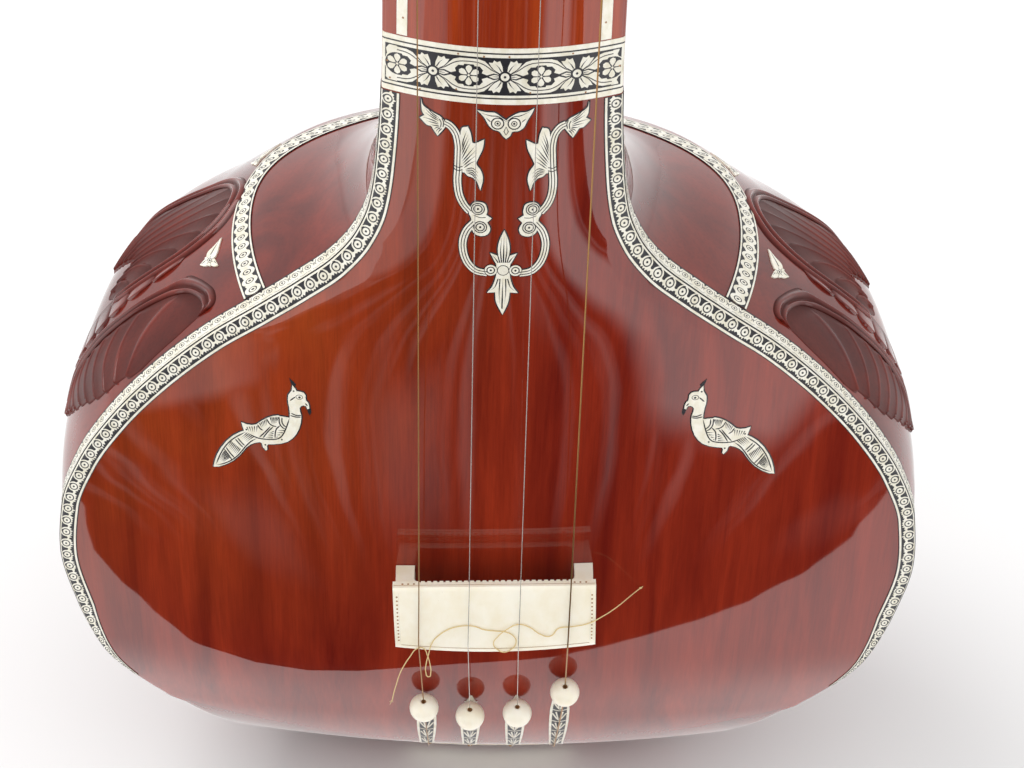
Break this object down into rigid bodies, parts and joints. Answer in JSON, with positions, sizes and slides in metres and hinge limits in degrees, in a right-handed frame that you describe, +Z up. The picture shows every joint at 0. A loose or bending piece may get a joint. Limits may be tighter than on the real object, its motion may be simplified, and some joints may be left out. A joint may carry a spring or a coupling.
{
  "type": "tanpura",
  "caption": "Long-necked drone lute with a gourd body, crowned wooden face, flat bone bridge, sliding tuning beads, turned pegs and inlaid ornament, upright on the flat under the gourd.",
  "frame": {"origin": "centre of the flat under the gourd, on the surface that the instrument stands on", "axes": "+Z up along the neck, -Y out of the sounding face, +X to the right of someone facing it"},
  "size_m": [0.406, 0.3155, 1.319],
  "materials": {
    "lacquered_shell": "gloss lacquer",
    "carved_wood": "gloss lacquer, carved",
    "face_wood": "gloss lacquer",
    "neck_wood": "gloss lacquer",
    "peg_wood": "turned and polished",
    "raw_wood": "sawn",
    "bone": "polished bone",
    "inlay": "engraved and polished",
    "steel_string": "drawn wire",
    "bronze_string": "drawn wire",
    "cotton_thread": "spun"
  },
  "bodies": {
    "instrument": {"gourd_shell": "lacquered_shell", "shoulder_block": "lacquered_shell", "soundboard": "face_wood", "neck_shell": "neck_wood", "neck_face_plate": "neck_wood", "head_block": "neck_wood", "head_cap": "bone", "string_nut": "bone", "string_guide": "bone", "bridge_base": "bone", "bridge_plate": "bone", "tailpiece": "bone", "tail_block": "raw_wood", "neck_joint_band": "inlay", "neck_edge_strip_left": "inlay", "rim_band_front_left": "inlay", "rim_band_side_left": "inlay", "carved_leaf_front_left": "carved_wood", "carved_leaf_rear_left": "carved_wood", "shoulder_flower_front_left": "inlay", "shoulder_flower_rear_left": "inlay", "peacock_left": "inlay", "scroll_vine_left": "inlay", "neck_edge_strip_right": "inlay", "rim_band_front_right": "inlay", "rim_band_side_right": "inlay", "carved_leaf_front_right": "carved_wood", "carved_leaf_rear_right": "carved_wood", "shoulder_flower_front_right": "inlay", "shoulder_flower_rear_right": "inlay", "peacock_right": "inlay", "scroll_vine_right": "inlay", "carved_leaf_back": "carved_wood", "shoulder_band": "inlay", "vine_finial": "inlay", "owl_motif": "inlay", "string_guard_1": "inlay", "string_guard_2": "inlay", "string_guard_3": "inlay", "string_guard_4": "inlay", "string_1": "bronze_string", "string_2": "steel_string", "string_3": "steel_string", "string_4": "bronze_string", "jiva_thread": "cotton_thread"},
    "peg_1": {"peg_1": "peg_wood", "string_winding_1": "bronze_string"},
    "peg_2": {"peg_2": "peg_wood", "string_winding_2": "steel_string"},
    "peg_3": {"peg_3": "peg_wood", "string_winding_3": "steel_string"},
    "peg_4": {"peg_4": "peg_wood", "string_winding_4": "bronze_string"},
    "bead_1": {"tuning_bead_1": "bone"},
    "bead_2": {"tuning_bead_2": "bone"},
    "bead_3": {"tuning_bead_3": "bone"},
    "bead_4": {"tuning_bead_4": "bone"}
  },
  "joints": [
    {"name": "peg_turn_1", "type": "hinge", "parent": "instrument", "child": "peg_1", "pos_m": [-0.04292, -0.0845, 1.182], "axis": [-1, 0, 0], "continuous": true},
    {"name": "peg_turn_2", "type": "hinge", "parent": "instrument", "child": "peg_2", "pos_m": [-0.022, -0.10913, 1.246], "axis": [0, -1, 0], "continuous": true},
    {"name": "peg_turn_3", "type": "hinge", "parent": "instrument", "child": "peg_3", "pos_m": [0.022, -0.10913, 1.246], "axis": [0, -1, 0], "continuous": true},
    {"name": "peg_turn_4", "type": "hinge", "parent": "instrument", "child": "peg_4", "pos_m": [0.04292, -0.0845, 1.182], "axis": [1, 0, 0], "continuous": true},
    {"name": "bead_slide_1", "type": "slide", "parent": "instrument", "child": "bead_1", "axis": [-0.0379, -0.3377, 0.9405], "range_m": [0, 0.012]},
    {"name": "bead_slide_2", "type": "slide", "parent": "instrument", "child": "bead_2", "axis": [-0.028, -0.3243, 0.9455], "range_m": [0, 0.012]},
    {"name": "bead_slide_3", "type": "slide", "parent": "instrument", "child": "bead_3", "axis": [-0.0223, -0.3288, 0.9442], "range_m": [0, 0.012]},
    {"name": "bead_slide_4", "type": "slide", "parent": "instrument", "child": "bead_4", "axis": [-0.0207, -0.3809, 0.9244], "range_m": [0, 0.012]}
  ]
}
